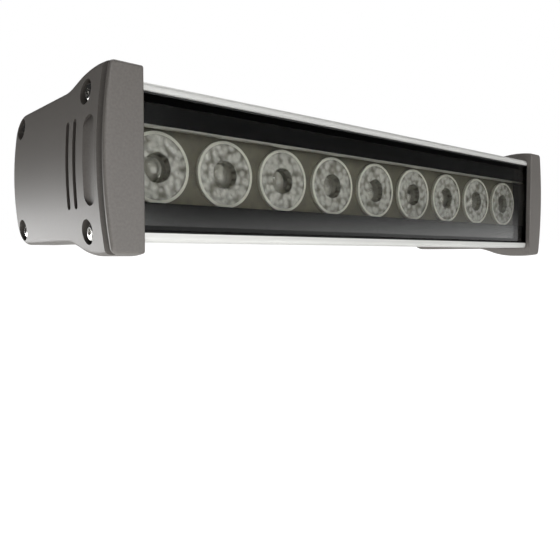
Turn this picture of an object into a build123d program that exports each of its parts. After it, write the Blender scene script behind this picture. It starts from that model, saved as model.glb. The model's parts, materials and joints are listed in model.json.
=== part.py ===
from build123d import *
import os

os.makedirs("parts", exist_ok=True)

# Linear floodlight: an aluminium bar with a row of lensed light-emitting diodes behind glass,
# a cast cap on each end, a driver chamber behind, and two tilting wall brackets on its back.
# X runs along the bar, Z is up, and the light leaves towards -Y.
# The origin is on the wall, midway between the two bracket feet.
# All lengths are millimetres. "Depth" is measured backwards from the bar's front plane.

# Lens row, which sets the bar's length
lens_count = 9
lens_pitch = 30.7
lens_to_cap = 12.2
visible_length = (lens_count - 1) * lens_pitch + 2 * lens_to_cap
half_visible = visible_length / 2

# Extruded housing, seen in section
housing_depth = 87.0
front_height = 55.2
rear_height = 50.8
step_start = 19.0
step_end = 25.0
lip_width = 3.0
lip_round = 1.5
rear_round = 8.0
shelf_width = 4.1
shelf_thickness = 2.0
web_thickness = 3.5
chamber_wall = 2.0
back_wall = 2.6
chamber_round = 2.5
fin_depth = 2.0
fin_gap = 2.0
fin_pitch = 4.0
fin_first = 33.0
fin_count = 10

# Track along the back for the bracket bolts
track_mouth = 6.6
track_lip = 2.2
track_cavity_depth = 5.0
track_cavity_height = 11.6
track_wall = 2.2

# Screw ports that run the length of the housing
port_wall = 1.5
front_port_depth = 14.5
front_port_height = 24.3
rear_port_inset = 6.0
rear_port_height = 21.6

# Stack behind the front opening
glass_recess = 1.2
glass_thickness = 4.0
glass_edge_gap = 0.6
glass_chamfer = 0.5
gasket_tape = 0.5
gasket_width = 2.8
bezel_thickness = 3.0
bezel_clearance = 0.2
bezel_chamfer = 0.6
window_height = 27.0
lens_setback = 2.6

# Collimating lens
lens_radius = 13.35
lens_flange = 1.5
lens_height = 11.3
lens_body_radius = 12.0
lens_tail_radius = 5.2
lens_well_radius = 3.6
lens_well_floor_radius = 2.9
lens_well_depth = 5.0
lens_socket_radius = 3.4
lens_socket_depth = 4.3
lens_bulge = 1.1

# Plate, holders, board and diodes
plate_thickness = 1.5
plate_height = 39.6
plate_hole_clearance = 0.2
plate_end_gap = 0.5
holder_radius = 13.4
holder_wall = 1.2
holder_floor = 1.5
holder_height = 10.5
holder_hole_radius = 4.4
board_thickness = 1.6
board_height = 28.4
board_end_gap = 2.0
diode_radius = 4.0
diode_base = 2.0
diode_dome_radius = 2.6
diode_heel = 0.3
pillar_flats = 4.5
pillar_height = 17.4
pillar_pitch_shares = (0.5, 2.5)
small_screw_radius = 1.5
small_head_radius = 2.7
small_head_height = 1.7
small_socket_radius = 1.0
small_socket_depth = 0.9
small_screw_reach = 5.5
small_hole_clearance = 0.1
board_screw_height = 11.3
board_screw_pitch_share = 1.5

# End caps and what seals and holds them
cap_projection = 3.0
cap_overhang = 2.8
cap_edge_width = 12.0
cap_bulge = 2.7
cap_front_height = 63.5
cap_crown_height = 65.6
cap_shoulder_height = 63.4
cap_body_height = 55.9
cap_crown_depth = 10.5
cap_shoulder_depth = 21.5
cap_neck_depth = 38.0
cap_shoulder_fall_share = 0.2
cap_back_round = 10.0
cap_back_bow = 2.2
cap_rim_round = 2.2
cap_inner_round = 0.6
pocket_depth = 4.0
pocket_clearance = 0.25
cap_cavity_depth = 5.0
cap_cavity_height = 36.0
cap_cavity_front_margin = 4.1
cap_cavity_back_margin = 12.4
cap_cavity_round = 4.0
crease_front = 1.4
crease_floor_front = 1.9
crease_floor_back = 3.0
crease_back = 5.9
crease_cut = 2.0
cap_corner_round = 1.1
groove_width = 2.8
groove_length = 32.0
groove_cut = 1.5
groove_places = (24.8, 31.2)
flute_place = 12.6
flute_width = 9.4
flute_length = 31.0
flute_cut = 1.3
end_gasket_thickness = 1.0
end_gasket_border = 2.0
cap_screw_radius = 1.95
cap_screw_length = 14.0
cap_screw_head_radius = 3.8
cap_screw_head_height = 2.5
cap_screw_socket_flats = 2.5
cap_screw_socket_depth = 1.6
cap_recess_radius = 4.5
cap_recess_floor = 9.9
thread_clearance = 0.05
screw_hole_clearance = 0.3

# Driver and wiring in the rear chamber
driver_board_front = 44.2
driver_board_thickness = 1.6
driver_board_height = 42.0
driver_board_margin = 7.0
driver_board_right = 44.0
guide_height = 2.0
guide_thickness = 1.4
guide_clearance = 0.15
transformer_place = -20.0
transformer_length = 28.0
transformer_width = 24.0
transformer_height_share = 0.54
bobbin_length = 17.0
bobbin_width = 26.5
bobbin_height_share = 0.64
bobbin_round = 3.0
capacitor_place = -62.0
capacitor_radius = 6.25
capacitor_height_share = 0.7
capacitor_score_depth = 0.4
choke_place = 12.0
choke_radius = 8.0
choke_bore_radius = 3.6
choke_height_share = 0.25
choke_round = 1.8
terminal_place = 34.0
terminal_length = 12.0
terminal_width = 15.0
terminal_height_share = 0.37
terminal_poles = 3
terminal_pitch = 5.0
terminal_entry = 2.6
terminal_screw_radius = 1.4
terminal_bore_depth = 6.0
terminal_screw_depth_share = 0.3
lead_radius = 0.8
lead_spacing = 2.6
lead_pitch_share = 3.5
lead_height = 16.6
lead_end_height = 12.8
lead_rise = 2.9
lead_bend_share = 0.45
grommet_radius = 3.6
grommet_flange_radius = 4.6
grommet_flange = 0.8
grommet_clearance = 0.1

# Cable gland on the right end cap
gland_face_cut = 0.6
gland_face_radius = 11.0
gland_thread_radius = 6.0
gland_bore_radius = 4.0
gland_flats = 18.0
gland_hex_length = 5.0
gland_neck_radius = 6.8
gland_neck_length = 7.0
gland_washer_radius = 9.0
gland_washer_thickness = 1.0
gland_locknut_flats = 17.0
gland_locknut_thickness = 3.0
gland_seal_wall = 1.8
gland_seal_radius = 5.4
gland_seal_length = 5.5
gland_seal_stand = 0.8
gland_nut_gap = 0.6
gland_nut_length = 12.5
gland_nut_dome_share = 0.45
gland_nut_mouth_radius = 4.3
gland_nut_nose_radius = 6.6
gland_clearance = 0.05

# Wall brackets, one pair near each end
ear_x = 75.0
bracket_steel = 3.0
bracket_inner_bend = 1.5
pivot_to_back = 20.0
pivot_to_wall = 24.0
ear_radius = 11.0
lamp_plate_width = 26.0
lamp_plate_height = 36.0
foot_width = 28.0
foot_height = 42.0
foot_round = 4.0
foot_hole_radius = 2.75
foot_hole_spacing = 26.0
foot_hole_edge = 10.0
pivot_radius = 3.0
pivot_clearance = 0.06
pivot_washer_thickness = 1.0
pivot_washer_radius = 6.2
hex_flats = 10.0
bolt_head_height = 4.0
nut_height = 5.0
nut_flange_radius = 6.4
nut_flange_height = 1.1
bolt_end_stand = 2.0
bolt_end_chamfer = 0.5
track_bolt_inset = 15.0
track_bolt_head = 10.8
track_bolt_head_height = 4.2
track_bolt_hole_clearance = 0.3

# Overrun that carries every cut clear past a face
over = 1.0

# Places worked out from the sizes above
front_y = -(pivot_to_wall + pivot_to_back + housing_depth)
mouth_half = front_height / 2 - lip_width
window_half = window_height / 2
glass_back = glass_recess + glass_thickness
bezel_front = glass_back + gasket_tape
shelf_front = bezel_front + bezel_thickness
shelf_back = shelf_front + shelf_thickness
lens_front = shelf_front + lens_setback
plate_front = lens_front + lens_flange
plate_back = plate_front + plate_thickness
board_front = plate_back + holder_height
web_front = board_front + board_thickness
chamber_front = web_front + web_thickness
chamber_back = housing_depth - back_wall
chamber_half = rear_height / 2 - fin_depth - chamber_wall
track_front = housing_depth - track_lip - track_cavity_depth
driver_board_back = driver_board_front + driver_board_thickness
driver_room = track_front - track_wall - driver_board_back
driver_board_left = -(lead_pitch_share * lens_pitch + driver_board_margin)
port_radius = cap_screw_radius + thread_clearance
rear_port_depth = housing_depth - rear_port_inset
housing_half = half_visible + pocket_depth - end_gasket_thickness
cap_depth = cap_projection + housing_depth + cap_overhang
cap_back = cap_depth - cap_projection
bulge_radius = ((cap_front_height / 2) ** 2 + cap_bulge**2) / (2 * cap_bulge)
bulge_centre = half_visible + cap_edge_width + cap_bulge - bulge_radius
cavity_floor = half_visible + pocket_depth + cap_cavity_depth
cap_cavity_start = chamber_front + cap_cavity_front_margin
cap_cavity_end = chamber_back - cap_cavity_back_margin
gland_depth_place = (cap_cavity_start + cap_cavity_end) / 2
cap_outer = half_visible + cap_edge_width + cap_bulge + over
gland_face = half_visible + cap_edge_width + cap_bulge - gland_face_cut
pivot_depth = housing_depth + pivot_to_back
bracket_outer_bend = bracket_inner_bend + bracket_steel
lens_places = [(i - (lens_count - 1) / 2) * lens_pitch for i in range(lens_count)]
port_places = [
    (front_port_depth, front_port_height),
    (front_port_depth, -front_port_height),
    (rear_port_depth, rear_port_height),
    (rear_port_depth, -rear_port_height),
]


# Shaping helpers
def depth_y(depth):
    """Y of a plane that lies this far behind the bar's front."""
    return front_y + depth


def rect(depth0, depth1, z0, z1):
    """Rectangle in the side view, from one depth and height to another."""
    return Pos((depth0 + depth1) / 2, (z0 + z1) / 2) * Rectangle(depth1 - depth0, z1 - z0)


def along_bar(sketch, x0, x1):
    """Push a side-view sketch (depth to the right, Z up) along the bar."""
    return extrude(Pos(x0, front_y, 0) * (Plane.YZ * sketch), amount=x1 - x0)


def block(x0, x1, depth0, depth1, z0, z1):
    """Block between two planes in each direction."""
    centre = Pos((x0 + x1) / 2, depth_y((depth0 + depth1) / 2), (z0 + z1) / 2)
    return centre * Box(x1 - x0, depth1 - depth0, z1 - z0)


def rod_y(radius, depth0, depth1, x, z):
    """Round bar that points backwards."""
    centre = Pos(x, depth_y((depth0 + depth1) / 2), z)
    return centre * Rot(90, 0, 0) * Cylinder(radius, depth1 - depth0)


def rod_x(radius, x0, x1, depth, z):
    """Round bar that lies along the lamp."""
    centre = Pos((x0 + x1) / 2, depth_y(depth), z)
    return centre * Rot(0, 90, 0) * Cylinder(radius, x1 - x0)


def hex_x(flats, x0, x1, depth, z):
    """Hexagonal bar that lies along the lamp, given its size across flats."""
    face = Pos(x0, depth_y(depth), z) * (Plane.YZ * RegularPolygon(flats / 2, 6, major_radius=False))
    return extrude(face, amount=x1 - x0)


def hex_y(flats, depth0, depth1, x, z):
    """Hexagonal bar that points backwards."""
    face = Pos(x, depth_y(depth0), z) * (Plane.XZ * RegularPolygon(flats / 2, 6, major_radius=False))
    return extrude(face, amount=-(depth1 - depth0))


def turned_y(points):
    """Solid turned about the Y axis from (radius, distance backwards) corners."""
    return revolve(make_face(Polyline(*points, close=True)), axis=Axis.Y)


def save(name, shape):
    """Write one named piece, as one solid or a group of separate solids."""
    solids = shape.solids()
    piece = solids[0] if len(solids) == 1 else Compound(children=list(solids))
    piece.label = name
    export_step(piece, f"parts/{name}.step")
    print(f"{name}: {len(solids)} solid(s), {piece.volume / 1000:.2f} cm3")


# Housing
def housing_outline():
    """Side view of the housing as if it were solid."""
    front, rear = front_height / 2, rear_height / 2
    upper = [(0, front), (step_start, front), (step_end, rear), (housing_depth, rear)]
    lower = [(depth, -height) for depth, height in reversed(upper)]
    outline = make_face(Polyline(*upper, *lower, close=True))
    corners = outline.vertices()
    outline = fillet(corners.filter_by(lambda v: v.X > housing_depth - over), rear_round)
    corners = outline.vertices()
    outline = fillet(corners.filter_by(lambda v: v.X < over and abs(v.Y) > front - over), lip_round)
    return outline


def housing_section():
    """Front channel, web, driver chamber, fins, screw ports and bracket track."""
    outline = housing_outline()
    ports = Sketch() + [Pos(*place) * Circle(port_radius + port_wall) for place in port_places]
    holes = Sketch() + [Pos(*place) * Circle(port_radius) for place in port_places]
    mouth = rect(-over, shelf_front, -mouth_half, mouth_half)
    window = rect(shelf_front, shelf_back, shelf_width - mouth_half, mouth_half - shelf_width)
    channel = rect(shelf_back, web_front, -mouth_half, mouth_half)
    chamber = rect(chamber_front, chamber_back, -chamber_half, chamber_half)
    chamber = fillet(chamber.vertices(), chamber_round)
    box_half = track_cavity_height / 2 + track_wall
    track_box = rect(track_front - track_wall, chamber_back, -box_half, box_half)
    cavity = rect(track_front, housing_depth - track_lip, -track_cavity_height / 2, track_cavity_height / 2)
    slot = rect(track_front, housing_depth + over, -track_mouth / 2, track_mouth / 2)
    hollow = mouth + window + channel + chamber - track_box - ports
    section = outline - hollow - holes - cavity - slot
    for side in (-1, 1):
        for i in range(fin_count):
            start = fin_first + i * fin_pitch
            outer = side * rear_height / 2
            inner = side * (rear_height / 2 - fin_depth)
            section -= rect(start, start + fin_gap, min(outer, inner), max(outer, inner))
        for start in (
            driver_board_front - guide_clearance - guide_thickness,
            driver_board_front + driver_board_thickness + guide_clearance,
        ):
            tip = side * (chamber_half - guide_height)
            root = side * (chamber_half + guide_clearance)
            section += rect(start, start + guide_thickness, min(tip, root), max(tip, root))
    return section


def grommet_place():
    """Where the leads pass through the web."""
    return lead_pitch_share * lens_pitch


def housing():
    """Extruded housing with its tapped board holes and the lead hole in the web."""
    body = along_bar(housing_section(), -housing_half, housing_half)
    for x, z in board_screw_places():
        body -= rod_y(small_screw_radius + thread_clearance, web_front - over, chamber_front + over, x, z)
    body -= rod_y(grommet_radius, web_front - over, chamber_front + over, -grommet_place(), lead_height)
    return body


# Glass, seal and black bezels
def front_glass():
    """Clear pane that lies between the housing's lips."""
    half = mouth_half - glass_edge_gap
    pane = block(-housing_half, housing_half, glass_recess, glass_back, -half, half)
    front_edges = pane.edges().filter_by(Axis.X).group_by(Axis.Y)[0]
    return chamfer(front_edges, glass_chamfer)


def glass_gasket(side):
    """Seal strip that turns round the pane's long edge and lies behind it."""
    glass_half = mouth_half - glass_edge_gap
    edge = rect(glass_recess, bezel_front, glass_half, mouth_half)
    tape = rect(glass_back, bezel_front, mouth_half - gasket_width, mouth_half)
    strip = along_bar(edge + tape, -housing_half, housing_half)
    return strip if side > 0 else mirror(strip, Plane.XY)


def bezel(side):
    """Black strip between the pane and the housing's shelf, bevelled along the window."""
    strip = block(
        -housing_half, housing_half, bezel_front, shelf_front, window_half, mouth_half - bezel_clearance
    )
    long_edges = strip.edges().filter_by(Axis.X)
    strip = chamfer(long_edges.group_by(Axis.Z)[0].sort_by(Axis.Y)[0], bezel_chamfer)
    return strip if side > 0 else mirror(strip, Plane.XY)


# Lens, holder, plate, board and diodes
def lens():
    """Clear collimator: rim flange, curved flank, front well and diode socket."""
    tail = lens_height
    socket_roof = lens_height - lens_socket_depth
    waist = ((lens_body_radius + lens_tail_radius) / 2 + lens_bulge, (lens_flange + tail) / 2)
    outline = [
        Polyline(
            (0, lens_well_depth),
            (lens_well_floor_radius, lens_well_depth),
            (lens_well_radius, 0),
            (lens_radius, 0),
            (lens_radius, lens_flange),
            (lens_body_radius, lens_flange),
        ),
        ThreePointArc((lens_body_radius, lens_flange), waist, (lens_tail_radius, tail)),
        Polyline(
            (lens_tail_radius, tail),
            (lens_socket_radius, tail),
            (lens_socket_radius, socket_roof),
            (0, socket_roof),
            (0, lens_well_depth),
        ),
    ]
    return revolve(make_face(outline), axis=Axis.Y)


def lens_holder():
    """Moulded cup that stands on the board round one diode and backs the plate."""
    inner = holder_radius - holder_wall
    floor = holder_height - holder_floor
    return turned_y(
        [
            (inner, 0),
            (holder_radius, 0),
            (holder_radius, holder_height),
            (holder_hole_radius, holder_height),
            (holder_hole_radius, floor),
            (inner, floor),
        ]
    )


def pillar_places():
    """Columns between lenses where the plate stands on pillars, above and below."""
    columns = [side * column * lens_pitch for column in pillar_pitch_shares for side in (-1, 1)]
    return [(x, z) for x in columns for z in (-pillar_height, pillar_height)]


def board_screw_places():
    """Corners between lenses where the board is screwed to the web."""
    columns = [side * board_screw_pitch_share * lens_pitch for side in (-1, 1)]
    return [(x, z) for x in columns for z in (-board_screw_height, board_screw_height)]


def lens_plate():
    """Plate that the lens rims lie on, with a hole for each lens."""
    half_length = housing_half - plate_end_gap
    plate = block(
        -half_length, half_length, plate_front, plate_back, -plate_height / 2, plate_height / 2
    )
    for x in lens_places:
        hole = lens_body_radius + plate_hole_clearance
        plate -= rod_y(hole, plate_front - over, plate_back + over, x, 0)
    for x, z in pillar_places():
        hole = small_screw_radius + small_hole_clearance
        plate -= rod_y(hole, plate_front - over, plate_back + over, x, z)
    return plate


def small_screw(head_depth, x, z):
    """Pan-head screw whose head lies in front of the given depth."""
    top = head_depth - small_head_height
    screw = rod_y(small_head_radius, top, head_depth, x, z)
    screw += rod_y(small_screw_radius, head_depth, head_depth + small_screw_reach, x, z)
    return screw - rod_y(small_socket_radius, top - over, top + small_socket_depth, x, z)


def plate_pillars():
    """Hexagonal pillars between the web and the plate, drilled for the plate screws."""
    pillars = Part()
    for x, z in pillar_places():
        pillar = hex_y(pillar_flats, plate_back, web_front, x, z)
        bore_end = plate_front + small_screw_reach + small_screw_radius
        bore = rod_y(small_screw_radius + thread_clearance, plate_back - over, bore_end, x, z)
        pillars += pillar - bore
    return pillars


def led_board():
    """Metal-core board behind the diodes."""
    half_length = housing_half - board_end_gap
    board = block(-half_length, half_length, board_front, web_front, -board_height / 2, board_height / 2)
    for x, z in board_screw_places():
        hole = small_screw_radius + small_hole_clearance
        board -= rod_y(hole, board_front - over, web_front + over, x, z)
    return board


def led_emitter():
    """Diode package with its domed top, standing on the board."""
    base = turned_y([(0, 0), (diode_radius, 0), (diode_radius, -diode_base), (0, -diode_base)])
    dome_base = -diode_base - diode_heel
    dome_top = (0, dome_base - diode_dome_radius)
    dome_rim = (diode_dome_radius, dome_base)
    dome = revolve(
        make_face(
            [
                RadiusArc(dome_top, dome_rim, -diode_dome_radius),
                Polyline(dome_rim, (diode_dome_radius, -diode_base), (0, -diode_base), dome_top),
            ]
        ),
        axis=Axis.Y,
    )
    return base + dome


# End caps
def cap_outline():
    """Side view of a cap: crowned front flange, curved shoulder, lower body, bowed back."""
    crown = (cap_crown_depth, cap_crown_height / 2)
    shoulder = (cap_shoulder_depth, cap_shoulder_height / 2)
    neck = (cap_neck_depth, cap_body_height / 2)
    back_corner = (cap_depth - cap_back_bow, cap_body_height / 2)
    bow_radius = ((cap_body_height / 2) ** 2 + cap_back_bow**2) / (2 * cap_back_bow)
    upper = [
        ThreePointArc((0, cap_front_height / 2), crown, shoulder),
        Spline(shoulder, neck, tangents=[(1, -cap_shoulder_fall_share), (1, 0)]),
        Line(neck, back_corner),
        RadiusArc(back_corner, (cap_depth, 0), bow_radius),
        Line((cap_depth, 0), (0, 0)),
        Line((0, 0), (0, cap_front_height / 2)),
    ]
    half = make_face(upper)
    whole = half + mirror(half, Plane.XZ)
    back_edge = cap_depth - cap_back_bow - over
    back = whole.vertices().filter_by(lambda v: v.X > back_edge and abs(v.Y) > over)
    return Pos(-cap_projection, 0) * fillet(back, cap_back_round)


def bulge(inset):
    """Round block about a far axis along Y; its skin is a cap's bulged end face."""
    centre = Pos(bulge_centre, depth_y(cap_back / 2), 0)
    return centre * Rot(90, 0, 0) * Cylinder(bulge_radius - inset, cap_depth * 2)


def crease():
    """Ring of the crease: a steep wall behind the front band and a sloped flank behind it."""
    skin, floor = bulge_radius, bulge_radius - crease_cut
    slope = (crease_back - crease_floor_back) / crease_cut
    profile = Polyline(
        (skin + over, crease_front),
        (floor, crease_floor_front),
        (floor, crease_floor_back),
        (skin + over, crease_back + slope * over),
        close=True,
    )
    ring = revolve(make_face(profile), axis=Axis.Y)
    return Pos(bulge_centre, depth_y(-cap_projection), 0) * ring


def end_face_slot(width, length, depth):
    """Upright slot prism through the end face at a depth behind the cap's front."""
    slot = Pos(depth - cap_projection, 0) * Rot(0, 0, 90) * SlotOverall(length, width)
    return along_bar(slot, half_visible + pocket_depth, cap_outer)


def cap_blank():
    """Outer form of the right cap with rounded rim edges."""
    blank = along_bar(cap_outline(), half_visible, cap_outer) & bulge(0)
    end_face = blank.faces().sort_by(Axis.X)[-1]
    rim = end_face.edges()
    front_rim = rim.sort_by(Axis.Y)[0]
    blank = fillet([edge for edge in rim if edge is not front_rim], cap_rim_round)
    front_face = blank.faces().sort_by(Axis.Y)[0]
    blank = fillet(front_face.edges().sort_by(Axis.X)[-1], cap_corner_round)
    inner_face = blank.faces().sort_by(Axis.X)[0]
    front_edge = inner_face.edges().sort_by(Axis.Y)[0]
    return fillet(front_edge, cap_inner_round)


def end_cap(gland):
    """Cast cap for the right end; the left one is its mirror image, with no gland hole."""
    cap = cap_blank()
    # Crease behind the front band, the two fine grooves and the broad flute beside them
    cap -= crease()
    for place in groove_places:
        cap -= end_face_slot(groove_width, groove_length, place) - bulge(groove_cut)
    flute_radius = ((flute_width / 2) ** 2 + flute_cut**2) / (2 * flute_cut)
    ring = Pos(bulge_centre, depth_y(flute_place - cap_projection), 0) * Rot(90, 0, 0)
    scoop = ring * Torus(bulge_radius + flute_radius - flute_cut, flute_radius)
    cap -= scoop & end_face_slot(flute_width, flute_length, flute_place)
    # Pocket that takes the end of the housing, and a lighter hollow behind the driver chamber
    pocket = offset(housing_outline(), pocket_clearance)
    cap -= along_bar(pocket, half_visible - over, half_visible + pocket_depth)
    cavity = rect(cap_cavity_start, cap_cavity_end, -cap_cavity_height / 2, cap_cavity_height / 2)
    cavity = fillet(cavity.vertices(), cap_cavity_round)
    cap -= along_bar(cavity, half_visible, cavity_floor)
    # Recessed screw holes
    for depth, z in port_places:
        cap -= rod_x(cap_recess_radius, half_visible + cap_recess_floor, cap_outer, depth, z)
        cap -= rod_x(cap_screw_radius + screw_hole_clearance, half_visible, cap_outer, depth, z)
    if gland:
        cap -= rod_x(gland_thread_radius + gland_clearance, half_visible, cap_outer, gland_depth_place, 0)
        cap -= rod_x(gland_face_radius, gland_face, cap_outer, gland_depth_place, 0)
    return cap


def end_gasket():
    """Flat seal between the housing's end and the cap's pocket, open at the driver chamber."""
    opening = rect(
        chamber_front + end_gasket_border,
        cap_cavity_end,
        end_gasket_border - chamber_half,
        chamber_half - end_gasket_border,
    )
    sheet = housing_outline() - opening
    for place in port_places:
        sheet -= Pos(*place) * Circle(cap_screw_radius + screw_hole_clearance)
    return along_bar(sheet, housing_half, half_visible + pocket_depth)


def cap_screws():
    """Four hexagon-socket screws that hold the right cap to the housing's ports."""
    seat = half_visible + cap_recess_floor
    top = seat + cap_screw_head_height
    screws = Part()
    for depth, z in port_places:
        screw = rod_x(cap_screw_head_radius, seat, top, depth, z)
        screw += rod_x(cap_screw_radius, seat - cap_screw_length, seat, depth, z)
        socket = hex_x(cap_screw_socket_flats, top - cap_screw_socket_depth, top + over, depth, z)
        screws += screw - socket
    return screws


# Driver and wiring
def driver_board():
    """Circuit board that slides in the chamber's guides."""
    half = driver_board_height / 2
    left, right = driver_board_left, driver_board_right
    return block(left, right, driver_board_front, driver_board_back, -half, half)


def driver_top(height_share):
    """Depth of a component's top, given the share of the room behind the board that it fills."""
    return driver_board_back + height_share * driver_room


def on_driver_board(place, length, width, height_share):
    """Block of a component that stands on the back of the driver board."""
    left, right = place - length / 2, place + length / 2
    return block(left, right, driver_board_back, driver_top(height_share), -width / 2, width / 2)


def driver_transformer():
    """Ferrite core round a wound bobbin."""
    bobbin = on_driver_board(transformer_place, bobbin_length, bobbin_width, bobbin_height_share)
    bobbin = fillet(bobbin.edges().filter_by(Axis.Y), bobbin_round)
    core = on_driver_board(
        transformer_place, transformer_length, transformer_width, transformer_height_share
    )
    return core + bobbin


def smoothing_capacitor():
    """Round can on end, scored across its top."""
    top = driver_top(capacitor_height_share)
    can = rod_y(capacitor_radius, driver_board_back, top, capacitor_place, 0)
    score_half = capacitor_score_depth
    for a, b in ((capacitor_radius, score_half), (score_half, capacitor_radius)):
        can -= block(
            capacitor_place - a, capacitor_place + a, top - capacitor_score_depth, top + over, -b, b
        )
    return can


def filter_choke():
    """Wound ring that lies flat on the board."""
    top = driver_top(choke_height_share)
    ring = rod_y(choke_radius, driver_board_back, top, choke_place, 0)
    ring -= rod_y(choke_bore_radius, driver_board_back - over, top + over, choke_place, 0)
    top_edges = ring.edges().group_by(Axis.Y)[-1]
    return fillet(top_edges, choke_round)


def terminal_block():
    """Terminal with a wire entry and a screw hole for each pole."""
    body = on_driver_board(terminal_place, terminal_length, terminal_width, terminal_height_share)
    top = driver_top(terminal_height_share)
    middle = (driver_board_back + top) / 2
    side = terminal_place + terminal_length / 2
    screw_floor = top - terminal_screw_depth_share * (top - driver_board_back)
    for i in range(terminal_poles):
        z = (i - (terminal_poles - 1) / 2) * terminal_pitch
        half = terminal_entry / 2
        inner = side - terminal_bore_depth
        body -= block(inner, side + over, middle - terminal_entry, middle, z - half, z + half)
        body -= rod_y(terminal_screw_radius, screw_floor, top + over, terminal_place, z)
    return body


def led_lead(side):
    """Insulated lead from the driver board, through the web and round to the board's front."""
    x = -grommet_place() + side * lead_spacing / 2
    turn = board_front - lead_rise
    route = [
        (x, depth_y(driver_board_front), lead_height),
        (x, depth_y(turn), lead_height),
        (x, depth_y(turn), lead_end_height),
        (x, depth_y(board_front), lead_end_height),
    ]
    radius = lead_bend_share * min(lead_rise, lead_height - lead_end_height)
    path = FilletPolyline(*route, radius=radius)
    start = Plane(origin=path @ 0, z_dir=path % 0)
    print(f"lead bend radius {radius:.2f} mm, route {path.length:.1f} mm")
    return sweep(start * Circle(lead_radius), path=path)


def wire_grommet():
    """Flanged sleeve in the web with one hole for each lead."""
    x = -grommet_place()
    sleeve = rod_y(grommet_radius - grommet_clearance, web_front, chamber_front, x, lead_height)
    flange_end = chamber_front + grommet_flange
    sleeve += rod_y(grommet_flange_radius, chamber_front, flange_end, x, lead_height)
    # The flange is trimmed flat below the chamber's rounded corner
    trim = chamber_half - chamber_round - grommet_clearance
    reach = x - grommet_flange_radius - over, x + grommet_flange_radius + over
    sleeve -= block(*reach, chamber_front, flange_end + over, trim, trim + grommet_flange_radius)
    for side in (-1, 1):
        hole = lead_radius + grommet_clearance
        place = x + side * lead_spacing / 2
        sleeve -= rod_y(hole, web_front - over, flange_end + over, place, lead_height)
    return sleeve


# Cable gland
def gland_rod(radius, x0, x1):
    """Round bar on the gland's axis."""
    return rod_x(radius, x0, x1, gland_depth_place, 0)


gland_hex_start = gland_face + gland_washer_thickness
gland_hex_end = gland_hex_start + gland_hex_length
gland_neck_end = gland_hex_end + gland_neck_length
gland_nut_start = gland_hex_end + gland_nut_gap
gland_nut_end = gland_nut_start + gland_nut_length
gland_seal_start = gland_neck_end - gland_seal_length + gland_seal_stand


def cable_gland_body():
    """Hexagon with a threaded spigot into the cap and a neck for the clamping nut."""
    spigot_start = cavity_floor - gland_locknut_thickness - thread_clearance
    body = gland_rod(gland_thread_radius, spigot_start, gland_hex_start)
    body += hex_x(gland_flats, gland_hex_start, gland_hex_end, gland_depth_place, 0)
    body += gland_rod(gland_neck_radius, gland_hex_end, gland_neck_end)
    body -= gland_rod(gland_bore_radius, spigot_start - over, gland_neck_end + over)
    return body - gland_rod(gland_seal_radius + gland_clearance, gland_seal_start, gland_neck_end + over)


def gland_washer():
    """Flat seal between the hexagon and the cap."""
    washer = gland_rod(gland_washer_radius, gland_face, gland_hex_start)
    hole = gland_thread_radius + gland_clearance
    return washer - gland_rod(hole, gland_face - over, gland_hex_start + over)


def gland_locknut():
    """Thin nut inside the cap."""
    start = cavity_floor - gland_locknut_thickness
    nut = hex_x(gland_locknut_flats, start, cavity_floor, gland_depth_place, 0)
    return nut - gland_rod(gland_thread_radius + gland_clearance, start - over, cavity_floor + over)


def gland_seal():
    """Rubber sleeve that closes on the cable."""
    end = gland_neck_end + gland_seal_stand
    seal = gland_rod(gland_seal_radius, gland_seal_start, end)
    return seal - gland_rod(gland_seal_radius - gland_seal_wall, gland_seal_start - over, end + over)


def gland_nut():
    """Domed hexagon nut that squeezes the seal."""
    dome_start = gland_nut_end - gland_nut_dome_share * gland_nut_length
    corner_radius = gland_flats / 2 + gland_nut_gap
    profile = [
        (0, gland_nut_start),
        (corner_radius, gland_nut_start),
        (corner_radius, dome_start),
        (gland_nut_nose_radius, gland_nut_end),
        (0, gland_nut_end),
    ]
    # Turned about the lamp's long direction, then cut to a hexagon
    outline = make_face(Polyline(*[(x, radius) for radius, x in profile], close=True))
    turned = Pos(0, depth_y(gland_depth_place), 0) * revolve(outline, axis=Axis.X)
    nut = turned & hex_x(gland_flats, gland_nut_start, gland_nut_end, gland_depth_place, 0)
    thread_end = gland_neck_end + gland_seal_stand + gland_clearance
    nut -= gland_rod(gland_neck_radius + gland_clearance, gland_nut_start - over, thread_end)
    return nut - gland_rod(gland_nut_mouth_radius, thread_end - over, gland_nut_end + over)


# Wall brackets; each is built for the right pair and mirrored for the left one
def bent_plate(points, height):
    """Upright strip of bent steel from its top-view corners, rounded at the bend."""
    face = make_face(Polyline(*points, close=True))
    strip = extrude(Pos(0, 0, -height / 2) * face, amount=height)
    return strip


def side_trim(outline, x0, x1):
    """Prism along X used to give an ear its side view."""
    return extrude(Pos(x0, 0, 0) * (Plane.YZ * outline), amount=x1 - x0)


def ear_outline(root_y, root_height):
    """Ear in side view: a wide root that tapers to a round end at the pivot."""
    pivot_y = -pivot_to_wall
    root = make_face(
        Polyline(
            (root_y, -root_height / 2),
            (pivot_y, -ear_radius),
            (pivot_y, ear_radius),
            (root_y, root_height / 2),
            close=True,
        )
    )
    return root + Pos(pivot_y, 0) * Circle(ear_radius)


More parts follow.
